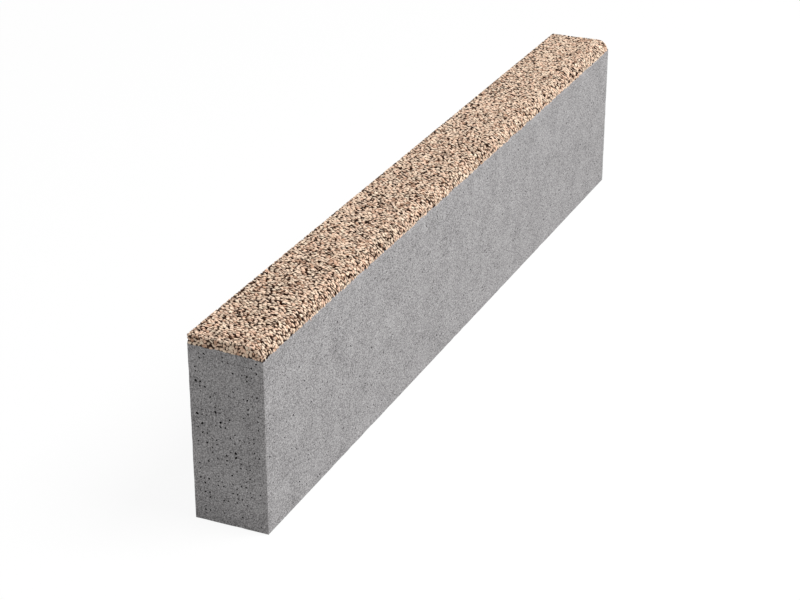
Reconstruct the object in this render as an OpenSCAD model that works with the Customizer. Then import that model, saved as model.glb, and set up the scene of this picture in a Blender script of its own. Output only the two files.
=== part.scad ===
// Two-mix concrete kerb stone: a grey backing block with an exposed-aggregate facing
// pressed onto its top. Length along X, rounded front towards -Y, bed on Z = 0.

/* [Block] */
// Length of the kerb, end to end
kerb_l = 1000; // [250:10:1200]
// Width of the kerb, front to back
kerb_w = 80; // [60:1:200]
// Height of the kerb, bed to top
kerb_h = 200; // [120:1:300]

/* [Edges] */
// Radius of the rounded top edge along the front
nose_r = 16; // [5:1:30]
// Radius of the worn arris on every other edge
arris_r = 1; // [0.5:0.5:3]

/* [Facing] */
// Depth of the exposed-aggregate facing at the front
facing_front_d = 13.5; // [6:0.5:30]
// Depth of the exposed-aggregate facing at the back
facing_back_d = 10; // [6:0.5:30]

/* [Hidden] */
$fn = 64;

// How far a cutting shape runs past what it cuts
overshoot = 5;
// Rise of the joint between the two mixes for each millimetre towards the back
joint_slope = (facing_front_d - facing_back_d) / kerb_w;

backing_colour = "#8C8A89";
facing_colour = "#C9A98A";

// What a fillet of radius r takes off a square corner at the origin, inside +X and +Y
module fillet_waste(r) {
    difference() {
        translate([-overshoot, -overshoot]) square(r + overshoot);
        translate([r, r]) circle(r);
    }
}

// Rectangle that stands on the X axis, centred on it, with a radius of its own at each corner
module rounded_rectangle(w, h, low_left, low_right, high_right, high_left) {
    difference() {
        translate([-w / 2, 0]) square([w, h]);
        translate([-w / 2, 0]) fillet_waste(low_left);
        translate([w / 2, 0]) mirror([1, 0]) fillet_waste(low_right);
        translate([w / 2, h]) rotate(180) fillet_waste(high_right);
        translate([-w / 2, h]) mirror([0, 1]) fillet_waste(high_left);
    }
}

// Cross-section of the kerb, front on the left
module section() {
    rounded_rectangle(kerb_w, kerb_h, arris_r, arris_r, arris_r, nose_r);
}

// A flat outline in Y and Z, run along the whole length
module along_length(past = 0) {
    translate([-kerb_l / 2 - past, 0, 0])
        rotate([90, 0, 90])
            linear_extrude(kerb_l + 2 * past) children();
}

// The whole stone: its section, its front view and its plan, each extruded and all three kept in common
module whole_stone() {
    intersection() {
        along_length() section();
        translate([0, kerb_w, 0])
            rotate([90, 0, 0])
                linear_extrude(2 * kerb_w)
                    rounded_rectangle(kerb_l, kerb_h, arris_r, arris_r, arris_r, arris_r);
        translate([0, -kerb_w / 2, -overshoot])
            linear_extrude(kerb_h + 2 * overshoot)
                rounded_rectangle(kerb_l, kerb_w, arris_r, arris_r, arris_r, arris_r);
    }
}

// All the space above the joint between the two mixes
module facing_zone() {
    reach = kerb_w / 2 + overshoot;
    joint_front_z = kerb_h - facing_front_d - joint_slope * overshoot;
    joint_back_z = kerb_h - facing_back_d + joint_slope * overshoot;
    along_length(overshoot)
        polygon([
            [-reach, joint_front_z],
            [reach, joint_back_z],
            [reach, kerb_h + overshoot],
            [-reach, kerb_h + overshoot]
        ]);
}

module backing_block() {
    color(backing_colour)
        difference() {
            whole_stone();
            facing_zone();
        }
}

module facing_layer() {
    color(facing_colour)
        intersection() {
            whole_stone();
            facing_zone();
        }
}

backing_block();
facing_layer();
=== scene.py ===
"""Two-mix concrete kerb stone: a grey backing block under a facing of exposed granite chips.

Laid out as an add-on and run as a script: each operator makes one piece, or one group of like pieces,
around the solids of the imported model.
"""
import math

import bmesh
import bpy
import numpy as np
from bpy.props import FloatProperty, FloatVectorProperty, IntProperty, PointerProperty
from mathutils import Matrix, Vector, noise


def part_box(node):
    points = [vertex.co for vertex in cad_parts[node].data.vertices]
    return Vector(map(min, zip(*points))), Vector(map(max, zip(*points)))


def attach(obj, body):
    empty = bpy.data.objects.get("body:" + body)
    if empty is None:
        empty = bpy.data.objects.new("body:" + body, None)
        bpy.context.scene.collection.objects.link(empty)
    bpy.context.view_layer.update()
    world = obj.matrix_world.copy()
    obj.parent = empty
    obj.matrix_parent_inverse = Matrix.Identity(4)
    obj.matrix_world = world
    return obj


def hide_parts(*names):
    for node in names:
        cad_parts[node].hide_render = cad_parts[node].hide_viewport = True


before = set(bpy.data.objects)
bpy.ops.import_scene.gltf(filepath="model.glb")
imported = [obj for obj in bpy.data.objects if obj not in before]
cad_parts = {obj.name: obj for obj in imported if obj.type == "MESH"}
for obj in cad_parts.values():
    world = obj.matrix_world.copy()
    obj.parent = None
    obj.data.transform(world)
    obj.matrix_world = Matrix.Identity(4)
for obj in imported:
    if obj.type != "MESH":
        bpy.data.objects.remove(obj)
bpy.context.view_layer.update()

bl_info = {
    "name": "Concrete Kerb Stone",
    "version": (1, 0, 0),
    "blender": (4, 5, 0),
    "location": "3D View > Sidebar > Kerb Stone",
    "description": "Builds the surfaces of a two-mix kerb stone around its packed solids",
    "category": "Add Mesh",
}

BODY = "root"
BLOCK_NODE = "backing_block"
FACING_NODE = "facing_layer"
BAKE_MAP = "OFBake"
TONE = "chip_tone"
# Attribute of the mortar's stain and the painted shade low down on the chips
STAIN_AND_SHADE = "mortar_stain"
WASHED = "washed_out"
WHITE = (1.0, 1.0, 1.0, 1.0)
MM = 0.001
# Points closer than this are at one place
HAIR = 0.01 * MM
X, Y, Z = range(3)
# Sizes of the waves in the joint of the two mixes, each with its weight
JOINT_WAVES = ((7 * MM, 1.0), (23 * MM, 0.6))

# The stone's own sizes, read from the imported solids
block_low, block_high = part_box(BLOCK_NODE)
facing_low, facing_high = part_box(FACING_NODE)
stone_low = np.minimum(block_low, facing_low)
stone_high = np.maximum(block_high, facing_high)
block_points = np.array([vertex.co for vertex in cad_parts[BLOCK_NODE].data.vertices])
front_points = block_points[block_points[:, Y] < stone_low[Y] + HAIR]
bed_points = block_points[block_points[:, Z] < stone_low[Z] + HAIR]
nose_r = stone_high[Z] - front_points[:, Z].max()
arris_r = stone_high[Y] - bed_points[:, Y].max()
joint_front_z = facing_low.z
joint_back_z = block_high.z


def from_hex(code):
    """Linear colour of an sRGB hex code."""
    levels = [int(code[place:place + 2], 16) / 255 for place in (0, 2, 4)]
    return [s / 12.92 if s <= 0.04045 else ((s + 0.055) / 1.055) ** 2.4 for s in levels]


def joint_z(y):
    """Height of the joint between the two mixes, which rises evenly from the front to the back."""
    part = (y - stone_low[Y]) / (stone_high[Y] - stone_low[Y])
    return joint_front_z + part * (joint_back_z - joint_front_z)


def ripple(at, waves):
    """Sum of smooth noise at a point, with a size and a weight for each part of it."""
    return sum(weight * noise.noise(at / size) for size, weight in waves)


def length(label, text, value):
    return FloatProperty(name=label, description=text, default=value, min=0.0, precision=5, unit="LENGTH")


def share(label, text, value):
    return FloatProperty(name=label, description=text, default=value, min=0.0, max=1.0, subtype="FACTOR")


def position(label, text, value):
    return FloatVectorProperty(name=label, description=text, default=value, unit="LENGTH")


def colour(label, text, code):
    return FloatVectorProperty(
        name=label, description=text, default=from_hex(code), min=0.0, max=1.0, size=3, subtype="COLOR"
    )


def random_seed(value):
    return IntProperty(name="Seed", description="Start of the random draws", default=value, min=0)


class ConcreteSettings(bpy.types.PropertyGroup):
    """Sizes and colours of the grey backing concrete"""

    lattice: length("Lattice", "Spacing of the cuts, one pore at most in each square", 5.0 * MM)
    pore_d: length("Pore diameter", "Middle diameter of the air pores", 1.8 * MM)
    end_pores: share("End pores", "Share of the lattice with a pore on the two ends", 0.27)
    side_pores: share("Side pores", "Share of the lattice with a pore on the sides and the bed", 0.15)
    side_pore_size: share("Side pore size", "Size of the pores there, next to those on the ends", 0.75)
    wear: length("Edge wear", "Deepest wear along the arrises", 0.6 * MM)
    joint_wave: length("Joint wave", "How far the joint of the two mixes strays from its line", 1.6 * MM)
    sand_d: length("Sand", "Size of the sand grains that show in the surface", 1.2 * MM)
    cloud_d: length("Clouds", "Size of the paler and darker clouds in the cement paste", 30.0 * MM)
    dark: colour("Dark paste", "Darkest grey of the paste and sand", "636162")
    light: colour("Light paste", "Lightest grey of the paste and sand", "CFCDCE")
    # The pore colour is painted shade: a dark grey that stands for the shade deep in each air pore
    pore: colour("Pore lining", "Grey inside the air pores", "242222")
    seed: random_seed(11)


class FacingSettings(bpy.types.PropertyGroup):
    """Sizes and colours of the exposed-aggregate facing"""

    chip_max_d: length("Largest chip", "Diameter of the largest granite chips", 4.5 * MM)
    chip_min_d: length("Smallest chip", "Diameter of the smallest granite chips", 1.9 * MM)
    recess: length("Recess", "Depth of the washed-out mortar below the chip tops", 1.4 * MM)
    joint_recess: length("Recess at the joint", "Depth of the mortar along the joint", 0.7 * MM)
    wash_rise: length("Wash rise", "Height above the joint where the recess reaches its depth", 1.8 * MM)
    end_wash: share("End wash", "Depth of the washed-out mortar on the two ends, next to the top", 0.6)
    mortar_pitch: length("Mortar lattice", "Spacing of the cuts in the mortar bed", 3.0 * MM)
    mineral_d: length("Minerals", "Size of the crystals that show in a chip", 0.8 * MM)
    # The mortar's dark brown is partly its own colour and partly painted shade of the deep gaps between
    # the chips; by the joint, where the gaps are shallow, it turns to the paler joint colour
    mortar: colour("Mortar", "Brown of the washed-out mortar between the chips", "321706")
    joint_mortar: colour("Joint mortar", "Grey-brown of the mortar where the two mixes meet", "65554A")
    cream: colour("Cream chips", "Feldspar-rich granite", "FEDEC6")
    peach: colour("Peach chips", "Warm granite", "FBD8BE")
    rose: colour("Rose chips", "Pink granite", "F3CDB3")
    tan: colour("Tan chips", "Weathered granite", "CDA78D")
    umber: colour("Umber chips", "Mica-rich dark granite", "241005")
    seed: random_seed(5)


class StageSettings(bpy.types.PropertyGroup):
    """Camera, light and floor"""

    eye: position("Eye", "Place of the camera", (-1.928, -0.810, 1.016))
    aim: position("Aim", "Point that the camera looks at", (-0.042, 0.025, 0.039))
    lens: FloatProperty(
        name="Lens", description="Focal length of the camera", default=88.9, min=1.0, unit="CAMERA"
    )
    key_at: position("Key", "Place of the softbox", (0.30, -1.86, 2.97))
    key_size: length("Softbox", "Side of the softbox", 1.8)
    key_share: share("Key share", "Light of the softbox, where 1 shows a colour as written", 1.0)
    fill_share: share("Fill share", "Light from all round, where 1 shows a colour as written", 0.46)
    floor_r: length("Floor", "Half the side of the floor", 12.0)
    floor: colour("Floor", "Pale floor, as it lights the stone from below", "C3C2C0")
    floor_fade: length("Floor fade", "Distance over which the floor turns into the white background", 4.0)
    floor_shade: share("Floor shade", "How much of its own shade the floor shows under the stone", 0.1)


def node(tree, kind, inputs=None, **settings):
    """Adds a shader node. An input is a value or the output socket that feeds it."""
    made = tree.nodes.new("ShaderNode" + kind)
    for name, value in settings.items():
        setattr(made, name, value)
    for name, value in (inputs or {}).items():
        if isinstance(value, bpy.types.NodeSocket):
            tree.links.new(value, made.inputs[name])
        else:
            made.inputs[name].default_value = value
    return made


def empty_material(name):
    material = bpy.data.materials.new(name)
    material.use_nodes = True
    material.node_tree.nodes.clear()
    return material, material.node_tree


def opaque(rgb):
    return (*rgb, 1.0)


def vibro_pressed_concrete(settings):
    """Cement paste pressed in a steel mould: a matt, even grey with sand grains and faint clouds."""
    material, tree = empty_material("vibro_pressed_concrete")
    place = node(tree, "TexCoord").outputs["Object"]
    clouds = node(tree, "TexNoise", {"Vector": place, "Scale": 1 / settings.cloud_d, "Detail": 4.0})
    sand = node(
        tree, "TexNoise",
        {"Vector": place, "Scale": 1 / settings.sand_d, "Detail": 4.0, "Roughness": 0.7},
    )
    # Weights of the two patterns, which both vary about a half, and the mean place between the greys
    cloud_weight, sand_weight, mean = 0.35, 3.6, 0.43
    base = mean - 0.5 * (cloud_weight + sand_weight)
    shade = node(
        tree, "Math", {0: clouds.outputs["Fac"], 1: cloud_weight, 2: base}, operation="MULTIPLY_ADD"
    )
    shade = node(
        tree, "Math", {0: sand.outputs["Fac"], 1: sand_weight, 2: shade.outputs[0]},
        operation="MULTIPLY_ADD", use_clamp=True,
    )
    grey = node(
        tree, "Mix",
        {0: shade.outputs[0], 6: opaque(settings.dark), 7: opaque(settings.light)},
        data_type="RGBA",
    )
    bump = node(tree, "Bump", {"Height": sand.outputs["Fac"], "Distance": 0.2 * MM, "Strength": 0.6})
    shader = node(
        tree, "BsdfPrincipled",
        {"Base Color": grey.outputs[2], "Normal": bump.outputs["Normal"], "Roughness": 0.9, "IOR": 1.5},
    )
    node(tree, "OutputMaterial", {"Surface": shader.outputs[0]})
    return material


def pore_lining(settings):
    """Paste inside an air pore: the same matt cement, painted darker as the shade deep in the pore."""
    material, tree = empty_material("pore_lining")
    place = node(tree, "TexCoord").outputs["Object"]
    grain = node(tree, "TexNoise", {"Vector": place, "Scale": 1 / settings.sand_d})
    dark = [0.5 * level for level in settings.pore]
    grey = node(
        tree, "Mix",
        {0: grain.outputs["Fac"], 6: opaque(dark), 7: opaque(settings.pore)},
        data_type="RGBA",
    )
    shader = node(tree, "BsdfPrincipled", {"Base Color": grey.outputs[2], "Roughness": 0.95, "IOR": 1.5})
    node(tree, "OutputMaterial", {"Surface": shader.outputs[0]})
    return material


def washed_mortar(settings):
    """Sand and cement washed out between the chips: a rough brown, painted darker as the shade in the
    deep gaps, and paler next to the block where the gaps are shallow.
    """
    material, tree = empty_material("washed_mortar")
    place = node(tree, "TexCoord").outputs["Object"]
    # How far the bed is washed out, which also sets how much painted shade of the deep gaps its brown
    # takes
    washed = node(tree, "Attribute", attribute_name=WASHED).outputs["Fac"]
    grain = node(tree, "TexNoise", {"Vector": place, "Scale": 1 / settings.mineral_d, "Detail": 2.0})
    # Darkest and lightest grains, each paler at the joint than in the washed-out bed, whose darker brown
    # is painted shade
    limits = []
    for strength in (0.55, 1.45):
        joint = opaque([strength * level for level in settings.joint_mortar])
        deep = opaque([strength * level for level in settings.mortar])
        limits.append(node(tree, "Mix", {0: washed, 6: joint, 7: deep}, data_type="RGBA").outputs[2])
    brown = node(tree, "Mix", {0: grain.outputs["Fac"], 6: limits[0], 7: limits[1]}, data_type="RGBA")
    bump = node(tree, "Bump", {"Height": grain.outputs["Fac"], "Distance": 0.4 * MM, "Strength": 0.8})
    # Grit that is finer than the mesh leaves hardly any gloss
    shader = node(
        tree, "BsdfPrincipled",
        {
            "Base Color": brown.outputs[2], "Normal": bump.outputs["Normal"],
            "Roughness": 0.95, "IOR": 1.5, "Specular IOR Level": 0.04,
        },
    )
    node(tree, "OutputMaterial", {"Surface": shader.outputs[0]})
    return material


def crushed_granite(name, base, settings):
    """Broken granite: a nearly matt crystal mosaic, each chip paler or darker, and darker low down from
    the mortar's stain and from painted shade of the gaps.
    """
    material, tree = empty_material(name)
    place = node(tree, "TexCoord").outputs["Object"]
    tone = node(tree, "Attribute", attribute_name=TONE).outputs["Fac"]
    crystal = node(tree, "TexVoronoi", {"Vector": place, "Scale": 1 / settings.mineral_d})
    # Weights of the crystals and of the chip's own tone, and the level that both are added to
    crystal_weight, tone_weight, start = 0.45, 0.75, -0.1
    shade = node(
        tree, "Math", {0: crystal.outputs["Color"], 1: crystal_weight, 2: start}, operation="MULTIPLY_ADD"
    )
    shade = node(
        tree, "Math", {0: tone, 1: tone_weight, 2: shade.outputs[0]},
        operation="MULTIPLY_ADD", use_clamp=True,
    )
    # How far the shades of one tone stray from its colour, and the palest that stone can be
    darker, paler, palest = 0.88, 1.12, 0.98
    dark = opaque([darker * level for level in base])
    light = opaque([min(paler * level, palest) for level in base])
    bare_colour = node(tree, "Mix", {0: shade.outputs[0], 6: dark, 7: light}, data_type="RGBA").outputs[2]
    # Low down the chip turns to the mortar's brown: partly the mortar's stain, partly painted shade of
    # the gaps between the chips
    stain_and_shade = node(tree, "Attribute", attribute_name=STAIN_AND_SHADE).outputs["Fac"]
    stone = node(tree, "Mix", {0: stain_and_shade, 6: bare_colour, 7: opaque(settings.mortar)}, data_type="RGBA")
    bump = node(
        tree, "Bump", {"Height": crystal.outputs["Distance"], "Distance": 0.15 * MM, "Strength": 0.5}
    )
    # The broken faces are rough and dusty, so little of the stone's gloss is left
    shader = node(
        tree, "BsdfPrincipled",
        {
            "Base Color": stone.outputs[2], "Normal": bump.outputs["Normal"],
            "Roughness": 0.6, "IOR": 1.54, "Specular IOR Level": 0.08,
        },
    )
    node(tree, "OutputMaterial", {"Surface": shader.outputs[0]})
    return material


def add_piece(name, mesh, materials, replaced=None):
    """Links a finished mesh as a piece of the stone."""
    for material in materials:
        mesh.materials.append(material)
    piece = bpy.data.objects.new(name, mesh)
    bpy.context.scene.collection.objects.link(piece)
    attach(piece, BODY)
    if replaced:
        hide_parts(replaced)


def sliced_copy(node_name, pitch):
    """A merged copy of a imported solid, cut into a lattice of squares along all three axes."""
    shape = bmesh.new()
    shape.from_mesh(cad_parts[node_name].data)
    bmesh.ops.remove_doubles(shape, verts=shape.verts, dist=0.001 * MM)
    bmesh.ops.dissolve_limit(
        shape, angle_limit=math.radians(0.5), verts=shape.verts, edges=shape.edges
    )
    low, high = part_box(node_name)
    for axis in (X, Z, Y):
        count = round((high[axis] - low[axis]) / pitch)
        for step in range(1, count):
            middle = Vector((0.0, 0.0, 0.0))
            middle[axis] = low[axis] + (high[axis] - low[axis]) * step / count
            across = Vector((0.0, 0.0, 0.0))
            across[axis] = 1.0
            everything = shape.verts[:] + shape.edges[:] + shape.faces[:]
            bmesh.ops.bisect_plane(
                shape, geom=everything, dist=0.001 * MM, plane_co=middle, plane_no=across
            )
    bmesh.ops.dissolve_degenerate(shape, dist=0.03 * MM, edges=shape.edges)
    shape.normal_update()
    return shape


def is_flat(vertex):
    """True where all the faces round a vertex lie in one flat side, not in the facets of an arris."""
    first = vertex.link_faces[0].normal
    if max(abs(part) for part in first) < math.cos(math.radians(3)):
        return False
    return all(face.normal.dot(first) > 0.9999 for face in vertex.link_faces)


def sink_pores(shape, faces, radius, reach, rng, slot_index):
    """Opens a round pore in each face: an outline inset in its square, made round, then sunk."""
    if not faces:
        return
    # Strays of a pore's shape and outline, and its wall and depth as shares of its radius
    shape_stray, outline_stray = 0.25, 0.15
    wall, depth = 0.3, 1.3
    bmesh.ops.inset_individual(shape, faces=faces, thickness=0.5 * reach, use_even_offset=True)
    edges = list({edge for face in faces for edge in face.edges})
    bmesh.ops.subdivide_edges(shape, edges=edges, cuts=1)
    for face in faces:
        centre = face.calc_center_median()
        along = (face.verts[0].co - centre).normalized()
        across = face.normal.cross(along)
        # The two directions run along the square's diagonals, and both strays come to half the radius
        slack = max(reach - 1.5 * radius, 0.0) / math.sqrt(2)
        offset = along * rng.uniform(-slack, slack) + across * rng.uniform(-slack, slack)
        stretch = rng.uniform(1 - shape_stray, 1 + shape_stray)
        for step, vertex in enumerate(face.verts):
            angle = 2 * math.pi * step / len(face.verts)
            size = radius * rng.uniform(1 - outline_stray, 1 + outline_stray)
            flat = along * math.cos(angle) * size * stretch + across * math.sin(angle) * size / stretch
            vertex.co = centre + offset + flat
    walls = bmesh.ops.inset_individual(
        shape, faces=faces, thickness=wall * radius, depth=-depth * radius, use_even_offset=True
    )
    # The floor and walls of each pore take the material that paints the shade inside it
    for face in faces + walls["faces"]:
        face.material_index = slot_index


def map_by_side(mesh, low, high):
    """Lays the faces out for baking in bands, one for each way that they face."""
    size = np.array(high) - np.array(low)
    corners = np.empty(len(mesh.loops), np.int32)
    mesh.loops.foreach_get("vertex_index", corners)
    places = np.empty(len(mesh.vertices) * 3, np.float32)
    mesh.vertices.foreach_get("co", places)
    places = (places.reshape(-1, 3)[corners] - np.array(low)) / size
    normals = np.empty(len(mesh.polygons) * 3, np.float32)
    mesh.polygons.foreach_get("normal", normals)
    totals = np.empty(len(mesh.polygons), np.int32)
    mesh.polygons.foreach_get("loop_total", totals)
    normals = np.repeat(normals.reshape(-1, 3), totals, axis=0)
    main_axis = np.abs(normals).argmax(1)
    upper = normals[np.arange(len(main_axis)), main_axis] > 0
    # Bands of the front, the back, the bed, the top and the two ends, and the gap between them
    width, height = size[Y], size[Z]
    bands = np.cumsum([0, height, height, width, width, width])
    bands = bands / bands[-1]
    gap = 0.004
    spots = np.zeros((len(corners), 2))
    for axis, along, up, first in ((Y, X, Z, 0), (Z, X, Y, 2)):
        for side in (0, 1):
            here = (main_axis == axis) & (upper == bool(side))
            band = bands[first + side:first + side + 2]
            spots[here, 0] = gap + (1 - 2 * gap) * places[here, along]
            spots[here, 1] = band[0] + gap + (band[1] - band[0] - 2 * gap) * places[here, up]
    for side in (0, 1):
        here = (main_axis == X) & (upper == bool(side))
        spots[here, 0] = 0.5 * side + gap + (0.5 - 2 * gap) * places[here, Z]
        spots[here, 1] = bands[4] + gap + (bands[5] - bands[4] - 2 * gap) * places[here, Y]
    layer = mesh.uv_layers.new(name=BAKE_MAP)
    layer.uv.foreach_set("vector", spots.astype(np.float32).ravel())


class KERB_OT_backing_block(bpy.types.Operator):
    """Makes the grey concrete block with its air pores, worn arrises and uneven joint"""

    bl_idname = "kerb.backing_block"
    bl_label = "Backing Block"

    # Radius of each class of pore, as a share of the middle radius, with its share of all pores
    pore_classes = ((0.7, 0.40), (0.95, 0.33), (1.2, 0.20), (1.6, 0.07))
    # How far a pore reaches from the middle of its square, as a share of the lattice
    pore_reach = 0.42
    # Smallest square that gets a pore, so that those cut short by an arris stay plain
    whole_square = 0.8
    # Place of the pores' painted shade among the block's materials
    pore_shade_slot = 1
    # Sizes and weights of the worn patches along the arrises, and the level below which none show
    wear_patches = ((16 * MM, 1.0), (5 * MM, 0.5))
    unworn = 0.1

    def execute(self, context):
        settings = context.scene.kerb_concrete
        rng = np.random.default_rng(settings.seed)
        shape = sliced_copy(BLOCK_NODE, settings.lattice)
        self.wear_edges(shape, settings)
        self.open_pores(shape, settings, rng)
        mesh = bpy.data.meshes.new(BLOCK_NODE)
        shape.to_mesh(mesh)
        shape.free()
        map_by_side(mesh, block_low, block_high)
        # The second material paints the shade inside the air pores
        materials = (vibro_pressed_concrete(settings), pore_lining(settings))
        add_piece("concrete_block", mesh, materials, BLOCK_NODE)
        return {"FINISHED"}

    def wear_edges(self, shape, settings):
        """Rubs the arrises down a little here and there, and lets the joint of the mixes wander."""
        moves = []
        for vertex in shape.verts:
            if is_flat(vertex):
                continue
            at = vertex.co
            if abs(at.z - joint_z(at.y)) < HAIR:
                wave = settings.joint_wave * ripple(at, JOINT_WAVES)
                moves.append((vertex, Vector((0.0, 0.0, wave))))
            else:
                rub = ripple(at, self.wear_patches) - self.unworn
                moves.append((vertex, -settings.wear * min(max(rub, 0.0), 1.0) * vertex.normal))
        for vertex, move in moves:
            vertex.co += move

    def open_pores(self, shape, settings, rng):
        """Picks squares of the lattice at random and opens a pore of some class in each."""
        square = self.whole_square * settings.lattice**2
        ends, sides = [], []
        for face in shape.faces:
            whole = len(face.verts) == 4 and face.calc_area() > square
            if not whole or face.normal.z > 0.5 or not all(is_flat(vertex) for vertex in face.verts):
                continue
            at_end = abs(face.normal.x) > 0.5
            if rng.random() < (settings.end_pores if at_end else settings.side_pores):
                (ends if at_end else sides).append(face)
        reach = self.pore_reach * settings.lattice
        sizes, weights = zip(*self.pore_classes)
        for chosen, scale in ((ends, 1.0), (sides, settings.side_pore_size)):
            kinds = rng.choice(len(sizes), len(chosen), p=weights)
            for kind, size in enumerate(sizes):
                faces = [face for face, its in zip(chosen, kinds) if its == kind]
                radius = 0.5 * settings.pore_d * scale * size
                sink_pores(shape, faces, radius, reach, rng, self.pore_shade_slot)


def washed_share(settings, above):
    """Share of the full wash at a height above the joint."""
    return np.clip(above / settings.wash_rise, 0.0, 1.0)


def washed_depth(settings, above):
    """Depth of the washed-out mortar at a height above the joint."""
    rest = settings.recess - settings.joint_recess
    return settings.joint_recess + washed_share(settings, above) * rest


class KERB_OT_facing_mortar(bpy.types.Operator):
    """Makes the mortar bed of the facing, washed out below the tops of the chips"""

    bl_idname = "kerb.facing_mortar"
    bl_label = "Facing Mortar"

    # Dips in the bed: the share of its depth that they change, and their size
    dip_share = 0.25
    dip_d = 3.5 * MM

    def execute(self, context):
        settings = context.scene.kerb_facing
        shape = sliced_copy(FACING_NODE, settings.mortar_pitch)
        half = (stone_high - stone_low) / 2
        middle = (stone_high + stone_low) / 2
        # The bed reaches into the block, below the deepest wave of the joint
        under = sum(weight for _, weight in JOINT_WAVES) * context.scene.kerb_concrete.joint_wave
        # Points farther out than this lie on one of the ends
        inner = half[X] - 0.1 * MM
        washed = []
        for vertex in shape.verts:
            at = vertex.co
            joint = joint_z(at.y)
            above = at.z - joint
            end_wash = settings.end_wash if abs(at.x - middle[X]) > inner else 1.0
            washed.append(end_wash * washed_share(settings, above))
            if above < 0.05 * MM:
                recess = settings.joint_recess
                at.z -= under
            else:
                recess = washed_depth(settings, above)
                recess *= 1 + self.dip_share * noise.noise(at / self.dip_d)
                at.z -= recess * above / (stone_high[Z] - joint)
            at.x -= end_wash * recess * (at.x - middle[X]) / half[X]
            at.y -= recess * (at.y - middle[Y]) / half[Y]
        mesh = bpy.data.meshes.new("facing_mortar")
        shape.to_mesh(mesh)
        shape.free()
        mesh.attributes.new(WASHED, "FLOAT", "POINT").data.foreach_set("value", washed)
        map_by_side(mesh, facing_low, facing_high)
        add_piece("facing_mortar", mesh, (washed_mortar(settings),), FACING_NODE)
        return {"FINISHED"}


def facing_outline():
    """The facing's outline from the joint at the back over the top to the joint at the front.

    Gives the length run at each point, and the point's place and normal across the stone.
    """
    low_angle = math.asin((joint_front_z - (stone_high[Z] - nose_r)) / nose_r)
    arcs = (
        (stone_high[Y] - arris_r, arris_r, np.linspace(0, math.pi / 2, 9)),
        (stone_low[Y] + nose_r, nose_r, np.linspace(math.pi / 2, math.pi - low_angle, 25)),
    )
    points = [[stone_high[Y], joint_back_z, 1.0, 0.0]]
    for centre_y, radius, angles in arcs:
        for angle in angles:
            y, z = math.cos(angle), math.sin(angle)
            points.append([centre_y + radius * y, stone_high[Z] - radius + radius * z, y, z])
    path = np.array(points)
    steps = np.linalg.norm(np.diff(path[:, :2], axis=0), axis=1)
    return np.concatenate([[0.0], np.cumsum(steps)]), path


def drop_discs(rng, field, inset, radii, tries):
    """Discs dropped on a field one after another, each kept at the first place that is free.

    They stay the inset, a share of their radius, away from the field's edges and may overlap a little.
    """
    overlap = 0.84
    cell = 2 * max(radii)
    held = {}
    kept = []
    for radius in radii:
        edge = np.array(inset) * radius
        for x, y in rng.uniform(edge, np.array(field) - edge, (tries, 2)):
            column, row = int(x // cell), int(y // cell)
            near = [
                disc for i in (-1, 0, 1) for j in (-1, 0, 1)
                for disc in held.get((column + i, row + j), ())
            ]
            if all((x - a) ** 2 + (y - b) ** 2 > (overlap * (radius + r)) ** 2 for a, b, r in near):
                kept.append((x, y, radius))
                held.setdefault((column, row), []).append((x, y, radius))
                break
    return np.array(kept)


def chip_shapes(rng, count):
    """Shapes of crushed stone: hulls of a few points round a ball, 2 across, with a deep root."""
    corners, root = 15, 1.5
    shapes = []
    for _ in range(count):
        shape = bmesh.new()
        for point in rng.normal(size=(corners, 3)):
            shape.verts.new(Vector(point).normalized())
        hull = bmesh.ops.convex_hull(shape, input=shape.verts)
        inside = [item for item in hull["geom_interior"] if isinstance(item, bmesh.types.BMVert)]
        bmesh.ops.delete(shape, geom=inside, context="VERTS")
        bmesh.ops.triangulate(shape, faces=shape.faces)
        bmesh.ops.recalc_face_normals(shape, faces=shape.faces)
        shape.verts.index_update()
        points = np.array([vertex.co for vertex in shape.verts])
        faces = np.array([[vertex.index for vertex in face.verts] for face in shape.faces])
        shape.free()
        span = np.ptp(points, axis=0)
        points = (points - points.min(0)) / span * 2 - 1
        points *= (1.0, rng.uniform(0.75, 1.0), rng.uniform(0.7, 0.95))
        points[:, Z] *= np.where(points[:, Z] < 0, root, 1.0)
        shapes.append((points, faces))
    return shapes


def chip_map(points, faces, numbers, side):
    """Places of the chips' faces for baking, each chip in its own cell of a square sheet.

    A chip is laid out round its top with equal areas. The faces that close its root turn over there,
    so they shrink to a point beside the rest.
    """
    # Reach of a chip from the middle of its cell, and the place of that point, as shares of the cell
    reach, aside = 0.47, 0.02
    flat = np.maximum(np.linalg.norm(points[:, :, :2], axis=2), 0.001)
    whole = np.linalg.norm(points, axis=2)
    spread = reach * np.sqrt((1 - points[:, :, 2] / whole) / 2) / flat
    spots = (0.5 + spread[:, :, None] * points[:, :, :2])[:, faces.ravel()].reshape(-1, len(faces), 3, 2)
    first, second = spots[:, :, 1] - spots[:, :, 0], spots[:, :, 2] - spots[:, :, 0]
    spots[first[:, :, 0] * second[:, :, 1] < first[:, :, 1] * second[:, :, 0]] = aside
    cells = np.stack([numbers % side, numbers // side], 1)
    return ((cells[:, None, None] + spots) / side).reshape(-1, 2)


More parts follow.
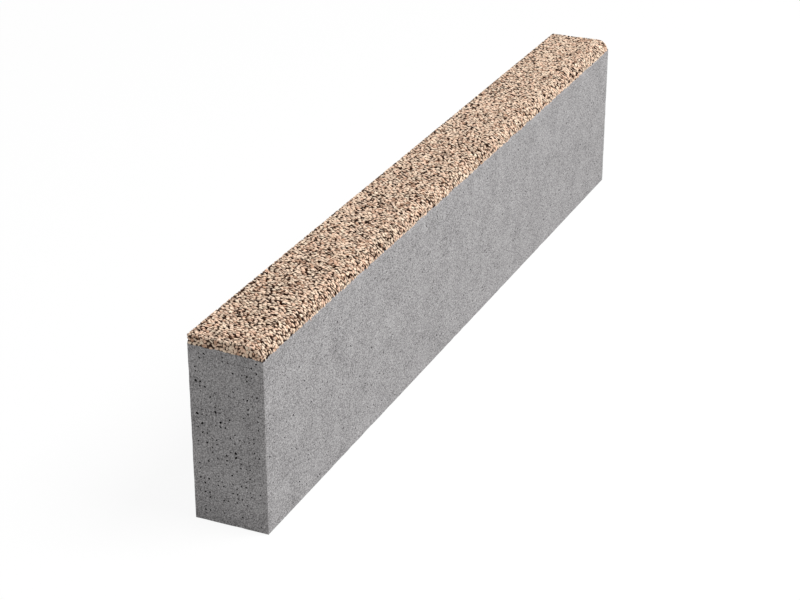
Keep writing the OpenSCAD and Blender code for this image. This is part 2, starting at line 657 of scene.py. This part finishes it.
def keep_inside(points):
    """Pulls points that stand outside the stone's rounded outline back to just under it."""
    skin = 0.05 * MM
    low, high = stone_low + skin, stone_high - skin
    points = np.clip(points, low, high)
    corners = [(Y, Z, -1, 1, nose_r), (Y, Z, 1, 1, arris_r)]
    for end in (-1, 1):
        corners.append((X, Z, end, 1, arris_r))
        corners.append((X, Y, end, -1, arris_r))
        corners.append((X, Y, end, 1, arris_r))
    for first, second, first_side, second_side, radius in corners:
        axes, sides = [first, second], np.array([first_side, second_side])
        edge = np.where(sides > 0, high[axes], low[axes])
        centre = edge - sides * radius
        off = (points[:, axes] - centre) * sides
        reach = np.linalg.norm(off, axis=1)
        out = (off > 0).all(1) & (reach > radius)
        pulled = centre + off[out] * (radius / reach[out])[:, None] * sides
        points[np.flatnonzero(out)[:, None], axes] = pulled
    return points


def unfolded(chips, faces):
    """True for each chip whose faces all point away from its middle, with none of them crushed flat."""
    # Six times the volume between a face and the middle
    least = 1e-5 * MM**3
    corners = (chips - chips.mean(1, keepdims=True))[:, faces]
    return (np.linalg.det(corners) > least).all(1)


class KERB_OT_granite_chips(bpy.types.Operator):
    """Sets the granite chips in the facing, one piece for each tone of stone"""

    bl_idname = "kerb.granite_chips"
    bl_label = "Granite Chips"

    # Share of the chips of each pale tone, and of those up to a size that are dark instead
    tones = {"cream": 0.42, "peach": 0.34, "rose": 0.17, "tan": 0.07}
    dark_tone = "umber"
    dark_share = 0.37
    dark_max_d = 3.4 * MM
    # Number of broken shapes that all chips are copies of
    shape_count = 28
    # Chips that are tried on the long outline, the step between those tried on an end, and the places
    # that each of them is tried at
    sieve_count = 19000
    end_step = 8
    tries = 16
    end_tries = 60
    # Curve of the chips' sizes between the smallest and the largest
    grading = (1.5, 1.8)
    # How far a chip stays from the edge of its field, as a share of its radius
    inset = 0.7
    # Size of a chip next to the disc that holds its place
    swell = 1.14
    # Chips on the long outline lie across the stone: this much longer that way, and shorter along it
    lie = 1.3
    # How far chips lean, in radians, and how far they are sunk, with the most, as shares of the wash
    lean = 0.3
    sink = 0.25
    sink_max = 0.6
    # Share of a chip's upper half that is left when the mould has flattened its top, and on the two ends
    pressed = 0.66
    end_pressed = 0.6
    # Depth under the surface at which the mortar's stain and the painted shade begin, and on the two ends
    bare_depth = 0.5 * MM
    end_bare_depth = 0.7 * MM
    # Depth over which the stain and the painted shade grow
    stain_and_shade_depth = 0.35 * MM

    def execute(self, context):
        settings = context.scene.kerb_facing
        rng = np.random.default_rng(settings.seed)
        shapes = chip_shapes(rng, self.shape_count)
        places, normals, radii = self.chip_places(settings, rng)
        sinks = washed_depth(settings, places[:, Z] - joint_z(places[:, Y]))
        sinks *= np.abs(rng.normal(0, self.sink, len(radii))).clip(0, self.sink_max)
        sinks *= np.where(np.abs(normals[:, X]) > 0.5, settings.end_wash, 1.0)
        kinds = rng.choice(list(self.tones), len(radii), p=list(self.tones.values()))
        dark = (radii < self.dark_max_d / 2) & (rng.random(len(radii)) < self.dark_share)
        kinds[dark] = self.dark_tone
        for tone in (*self.tones, self.dark_tone):
            name = f"granite_chips_{tone}"
            mine = kinds == tone
            mesh = self.joined_mesh(
                name, places[mine], normals[mine], radii[mine], sinks[mine], shapes, rng
            )
            material = crushed_granite(f"crushed_{tone}_granite", getattr(settings, tone), settings)
            add_piece(name, mesh, (material,))
        return {"FINISHED"}

    def chip_places(self, settings, rng):
        """Places, outward normals and radii of all chips, on the long outline and on the two ends."""
        run, path = facing_outline()
        stone_l = stone_high[X] - stone_low[X]
        low, high = 0.5 * settings.chip_min_d, 0.5 * settings.chip_max_d
        # More chips than there is room for, from the largest to the smallest
        sieve = np.sort(low + (high - low) * rng.beta(*self.grading, self.sieve_count))[::-1]
        # The field is stretched along the stone, and goes back with its discs
        field = (stone_l * self.lie, run[-1] / self.lie)
        discs = drop_discs(rng, field, (self.inset, 0.0), sieve, self.tries)
        discs[:, :2] *= (1 / self.lie, self.lie)
        along = np.stack([np.interp(discs[:, 1], run, column) for column in path.T], 1)
        normals = np.zeros((len(discs), 3))
        normals[:, 1:] = along[:, 2:] / np.linalg.norm(along[:, 2:], axis=1)[:, None]
        places = np.column_stack([stone_low[X] + discs[:, 0], along[:, :2]])
        found = [(places, normals, discs[:, 2])]
        depth = stone_high[Z] - joint_front_z
        stone_w = stone_high[Y] - stone_low[Y]
        for end_x, side in ((stone_low[X], -1.0), (stone_high[X], 1.0)):
            discs = drop_discs(
                rng, (stone_w, depth), (self.inset, self.inset), sieve[::self.end_step], self.end_tries
            )
            places = np.column_stack(
                [np.full(len(discs), end_x), stone_low[Y] + discs[:, 0], stone_high[Z] - discs[:, 1]]
            )
            # Chips on the facing alone, little below the joint and little past the curve of the nose
            below, past = 0.2 * discs[:, 2], 1.5 * MM
            kept = places[:, Z] > joint_z(places[:, Y]) - below
            kept &= np.abs(keep_inside(places)[:, 1:] - places[:, 1:]).max(1) < past
            places = places[kept]
            normals = np.tile((side, 0.0, 0.0), (len(places), 1))
            found.append((places, normals, discs[kept, 2]))
        return tuple(np.concatenate(column) for column in zip(*found))

    def joined_mesh(self, name, places, normals, radii, sinks, shapes, rng):
        """All chips of one tone as one mesh, each turned at random, sunk and kept inside the stone."""
        count = len(radii)
        which = rng.integers(len(shapes), size=count)
        spin = rng.uniform(0, 2 * math.pi, count)
        tilt = rng.normal(0, self.lean, count)
        tones = rng.uniform(0, 1, count)
        side = int(math.ceil(math.sqrt(count)))
        all_points, all_faces, all_spots, all_tones, all_stains_and_shade = [], [], [], [], []
        total = 0
        for number in range(len(shapes)):
            mine = np.flatnonzero(which == number)
            if not len(mine):
                continue
            points, faces = shapes[number]
            # The shape tilted about its own X, spun about Z, then stood on the surface
            cos_t, sin_t = np.cos(tilt[mine])[:, None], np.sin(tilt[mine])[:, None]
            cos_s, sin_s = np.cos(spin[mine])[:, None], np.sin(spin[mine])[:, None]
            y = points[:, Y] * cos_t - points[:, Z] * sin_t
            up = points[:, Y] * sin_t + points[:, Z] * cos_t
            flat_x = points[:, X] * cos_s - y * sin_s
            flat_y = points[:, X] * sin_s + y * cos_s
            size = self.swell * radii[mine][:, None]
            normal = normals[mine]
            at_end = np.abs(normal[:, :1]) > 0.5
            tangent = np.where(at_end, (0.0, 1.0, 0.0), (1.0, 0.0, 0.0))
            across = np.cross(normal, tangent)
            pressed = np.where(at_end, self.end_pressed, self.pressed)
            bare_depth = np.where(at_end, self.end_bare_depth, self.bare_depth)
            lie = np.where(at_end, 1.0, self.lie)
            depth = (pressed * up.max(1, keepdims=True) - up) * size + sinks[mine][:, None]
            placed = (
                places[mine][:, None]
                + (flat_x * size / lie)[:, :, None] * tangent[:, None]
                + (flat_y * size * lie)[:, :, None] * across[:, None]
                - depth[:, :, None] * normal[:, None]
            )
            # Share of the mortar's stain and painted shade at each corner, by its depth
            stains_and_shade = np.clip((depth - bare_depth) / self.stain_and_shade_depth, 0.0, 1.0)
            placed = keep_inside(placed.reshape(-1, 3)).reshape(placed.shape)
            # The few chips that the stone's rounded outline has folded over are left out
            whole = unfolded(placed, faces)
            mine = mine[whole]
            all_points.append(placed[whole].reshape(-1, 3))
            indices = faces[None] + (total + len(points) * np.arange(len(mine)))[:, None, None]
            all_faces.append(indices.reshape(-1, 3))
            total += len(points) * len(mine)
            all_spots.append(chip_map(np.stack([flat_x, flat_y, up], 2)[whole], faces, mine, side))
            all_tones.append(np.repeat(tones[mine], len(points)))
            all_stains_and_shade.append(stains_and_shade[whole].ravel())
        mesh = bpy.data.meshes.new(name)
        mesh.from_pydata(np.concatenate(all_points), [], np.concatenate(all_faces))
        for attribute, values in ((TONE, all_tones), (STAIN_AND_SHADE, all_stains_and_shade)):
            made = mesh.attributes.new(attribute, "FLOAT", "POINT")
            made.data.foreach_set("value", np.concatenate(values))
        layer = mesh.uv_layers.new(name=BAKE_MAP)
        layer.uv.foreach_set("vector", np.concatenate(all_spots).astype(np.float32).ravel())
        return mesh


class KERB_OT_stage(bpy.types.Operator):
    """Sets the pale floor, the soft light, the white background and the camera"""

    bl_idname = "kerb.stage"
    bl_label = "Stage"

    def execute(self, context):
        settings = context.scene.kerb_stage
        self.lay_floor(context, settings)
        self.light(context, settings)
        self.place_camera(context, settings)
        context.scene.view_settings.view_transform = "Standard"
        return {"FINISHED"}

    def seen_straight(self, tree):
        """1 for rays that show the background itself: to the camera, in gloss and through glass."""
        path = node(tree, "LightPath").outputs
        seen = path["Is Camera Ray"]
        for ray in ("Is Glossy Ray", "Is Transmission Ray"):
            seen = node(tree, "Math", {0: seen, 1: path[ray]}, operation="MAXIMUM").outputs[0]
        return seen

    def lay_floor(self, context, settings):
        # A little under the bed, so that the two faces don't mix
        floor_z = stone_low[Z] - 0.2 * MM
        shape = bmesh.new()
        bmesh.ops.create_grid(shape, x_segments=1, y_segments=1, size=settings.floor_r)
        bmesh.ops.translate(shape, verts=shape.verts, vec=(0.0, 0.0, floor_z))
        mesh = bpy.data.meshes.new("floor")
        shape.to_mesh(mesh)
        shape.free()
        material, tree = empty_material("white_paper_floor")
        matt = node(tree, "BsdfDiffuse", {"Color": opaque(settings.floor)})
        white = node(tree, "Emission", {"Color": WHITE, "Strength": 1.0})
        paper = node(tree, "BsdfDiffuse", {"Color": (0.95, 0.95, 0.95, 1.0)})
        # The paper's own shade, with the shadow in it, fades into the white background
        place = node(tree, "TexCoord").outputs["Object"]
        scale = [1 / settings.floor_fade] * 3
        place = node(tree, "VectorMath", {0: place, 1: scale}, operation="MULTIPLY").outputs[0]
        fade = node(tree, "TexGradient", {"Vector": place}, gradient_type="SPHERICAL").outputs["Fac"]
        fade = node(tree, "Math", {0: fade, 1: settings.floor_shade}, operation="MULTIPLY").outputs[0]
        shown = node(tree, "MixShader", {0: fade, 1: white.outputs[0], 2: paper.outputs[0]})
        seen = self.seen_straight(tree)
        mixed = node(tree, "MixShader", {0: seen, 1: matt.outputs[0], 2: shown.outputs[0]})
        node(tree, "OutputMaterial", {"Surface": mixed.outputs[0]})
        mesh.materials.append(material)
        floor = bpy.data.objects.new("floor", mesh)
        context.scene.collection.objects.link(floor)

    def light(self, context, settings):
        place, aim = Vector(settings.key_at), Vector((stone_low + stone_high) / 2)
        lamp = bpy.data.lights.new("softbox", "AREA")
        lamp.size = settings.key_size
        # The power at which a matt face turned to the lamp shows its colour as written
        lamp.energy = settings.key_share * math.pi**2 * (aim - place).length_squared
        softbox = bpy.data.objects.new("softbox", lamp)
        softbox.location = place
        softbox.rotation_euler = (aim - place).to_track_quat("-Z", "Y").to_euler()
        context.scene.collection.objects.link(softbox)
        world = bpy.data.worlds.new("studio")
        world.use_nodes = True
        tree = world.node_tree
        tree.nodes.clear()
        fill = node(tree, "Background", {"Color": WHITE, "Strength": settings.fill_share})
        white = node(tree, "Background", {"Color": WHITE, "Strength": 1.0})
        seen = self.seen_straight(tree)
        mixed = node(tree, "MixShader", {0: seen, 1: fill.outputs[0], 2: white.outputs[0]})
        node(tree, "OutputWorld", {"Surface": mixed.outputs[0]})
        context.scene.world = world

    def place_camera(self, context, settings):
        lens = bpy.data.cameras.new("camera")
        lens.lens = settings.lens
        camera = bpy.data.objects.new("camera", lens)
        camera.location = settings.eye
        look = Vector(settings.aim) - Vector(settings.eye)
        camera.rotation_euler = look.to_track_quat("-Z", "Y").to_euler()
        context.scene.collection.objects.link(camera)
        context.scene.camera = camera


OPERATORS = (KERB_OT_stage, KERB_OT_backing_block, KERB_OT_facing_mortar, KERB_OT_granite_chips)


class KERB_PT_panel(bpy.types.Panel):
    """Lists the settings and the operators"""

    bl_idname = "KERB_PT_panel"
    bl_label = "Kerb Stone"
    bl_space_type = "VIEW_3D"
    bl_region_type = "UI"
    bl_category = "Kerb Stone"

    def draw(self, context):
        for group in SETTINGS:
            settings = getattr(context.scene, group)
            box = self.layout.box()
            for name in settings.__annotations__:
                box.prop(settings, name)
        for operator in OPERATORS:
            self.layout.operator(operator.bl_idname)


SETTINGS = {
    "kerb_concrete": ConcreteSettings,
    "kerb_facing": FacingSettings,
    "kerb_stage": StageSettings,
}


def register():
    for kind in (*SETTINGS.values(), *OPERATORS, KERB_PT_panel):
        bpy.utils.register_class(kind)
    for name, kind in SETTINGS.items():
        setattr(bpy.types.Scene, name, PointerProperty(type=kind))


def unregister():
    for name in SETTINGS:
        delattr(bpy.types.Scene, name)
    for kind in (KERB_PT_panel, *reversed(OPERATORS), *SETTINGS.values()):
        bpy.utils.unregister_class(kind)


def main():
    register()
    bpy.ops.kerb.stage()
    bpy.ops.kerb.backing_block()
    bpy.ops.kerb.facing_mortar()
    bpy.ops.kerb.granite_chips()


if __name__ == "__main__":
    main()
